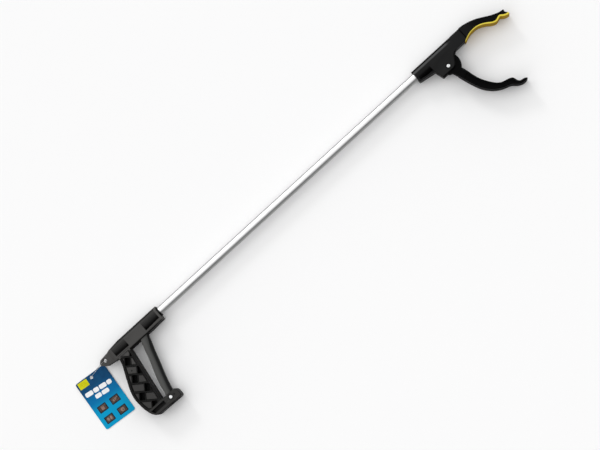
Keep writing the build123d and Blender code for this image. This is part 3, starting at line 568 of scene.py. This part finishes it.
def card_print():
    """The card's ground colour: navy at the hole, through blue, to cyan at the bottom edge."""
    s = Surface("printed_card", Specular_IOR_Level=0.06)
    place = s.node("ShaderNodeMapping", {"Vector": s.place}, vector_type="POINT")
    inverse = card_matrix().inverted()
    place.inputs["Location"].default_value = inverse.to_translation()
    place.inputs["Rotation"].default_value = inverse.to_euler()
    parts = s.node("ShaderNodeSeparateXYZ", {0: place.outputs[0]})
    up = s.remap(parts.outputs["Y"], -0.3 * CARD_H, 0.42 * CARD_H)
    low = s.mix(s.remap(up, 0.0, 0.5), (0.0, 0.31, 0.56), (0.001, 0.15, 0.37))
    ground = s.mix(s.remap(up, 0.5, 1.0), low, (0.005, 0.050, 0.135))
    cloud = s.noise(0.01, 3)
    ground = s.mix(s.remap(cloud, 0.3, 0.75, 0.0, 0.10), ground, (0.02, 0.2, 0.42))
    edge = s.band(parts.outputs["Z"], 0, CARD_T * 0.42, CARD_T * 0.03)
    back = s.remap(parts.outputs["Z"], -CARD_T * 0.49, -CARD_T * 0.47, 1.0, 0.0)
    paper = s.mix(cloud, (0.72, 0.73, 0.72), (0.8, 0.8, 0.79))
    s.set(Base_Color=s.mix(s.math("MAXIMUM", edge, back), ground, paper))
    s.set(Roughness=s.remap(cloud, 0.3, 0.7, 0.36, 0.48))
    s.set(Normal=s.bump(s.noise(0.0005, 3, (1, 3, 1)), 0.000012))
    return s.material


def make_tag():
    dress(card_print(), "tag_card")
    label = Artwork("tag_label", 1, ink("label_ink", (0.60, 0.58, 0.002), 0.06))
    label.shape(rounded_outline(16.4, 10.8, 0.6), -16.3, 34.9, -2)
    label.done()
    mark = Artwork("tag_label_mark", 2, ink("label_mark_ink", (0.50, 0.45, 0.004)))
    for row, width in enumerate((9.0, 11.0, 6.5)):
        mark.shape(rounded_outline(width, 1.0, 0.4), -16.3, 37.2 - 2.3 * row, -2)
    mark.done()

    # a plain pattern of bars stands where such a card carries its wording
    bars = Artwork("tag_bars", 1, ink("white_ink", (0.86, 0.86, 0.87), 0.04))
    slope_deg = -4.0
    rows = [((-0.8, 16.9), 7.0, (13.0, 9.0, 12.0, 8.0)), ((-0.4, 7.6), 6.6, (10.5, 12.0))]
    gap = 1.3
    for (x, y), height, widths in rows:
        left = -(sum(widths) + gap * (len(widths) - 1)) / 2
        for width in widths:
            middle = Vector((left + width / 2, 0))
            middle.rotate(Matrix.Rotation(math.radians(slope_deg), 2))
            bars.shape(rounded_outline(width, height, 2.2), x + middle.x, y + middle.y, slope_deg)
            left += width + gap
    bars.done()

    frames = Artwork("tag_picture_frames", 1, ink("frame_ink", (0.004, 0.005, 0.009), 0.3))
    panels = Artwork("tag_pictures", 2, ink("picture_ink", (0.072, 0.050, 0.042), 0.3))
    light = Artwork("tag_picture_shapes", 3, ink("picture_light_ink", (0.26, 0.18, 0.15), 0.2))
    shade = Artwork("tag_picture_shades", 3, ink("picture_dark_ink", (0.012, 0.010, 0.011), 0.2))
    places = [(-12.6, -11.2), (10.1, -11.2), (10.8, -30.6), (-13.0, -30.3)]
    for x, y in places:
        frames.shape(rounded_outline(15.4, 11.4, 0.8), x, y)
        panels.shape(rounded_outline(12.6, 8.8, 0.5), x, y)
    can, bottle, ball, pair = places
    light.shape(rounded_outline(4.6, 6.2, 0.8), *can)
    shade.shape(oval_outline(3.6, 1.0), can[0], can[1] + 2.2)
    light.shape(rounded_outline(6.4, 3.4, 1.2), bottle[0] - 0.8, bottle[1], 20)
    light.shape(rounded_outline(2.8, 1.5, 0.4), bottle[0] + 3.3, bottle[1] + 1.5, 20)
    shade.shape(rounded_outline(1.2, 2.9, 0.3), bottle[0] - 1.0, bottle[1], 20)
    light.shape(oval_outline(6.2, 6.2), *ball)
    shade.shape(oval_outline(2.2, 2.2), ball[0] + 0.9, ball[1] - 0.8)
    light.shape(oval_outline(3.8, 5.6), pair[0] - 2.3, pair[1], 18)
    light.shape(oval_outline(3.8, 5.6), pair[0] + 2.5, pair[1], -18)
    shade.shape(rounded_outline(1.0, 3.2, 0.4), pair[0] + 0.1, pair[1])
    for artwork in (frames, panels, light, shade):
        artwork.done()


make_camera()
make_lights()
make_floor()
dress_nodes()
make_tag()
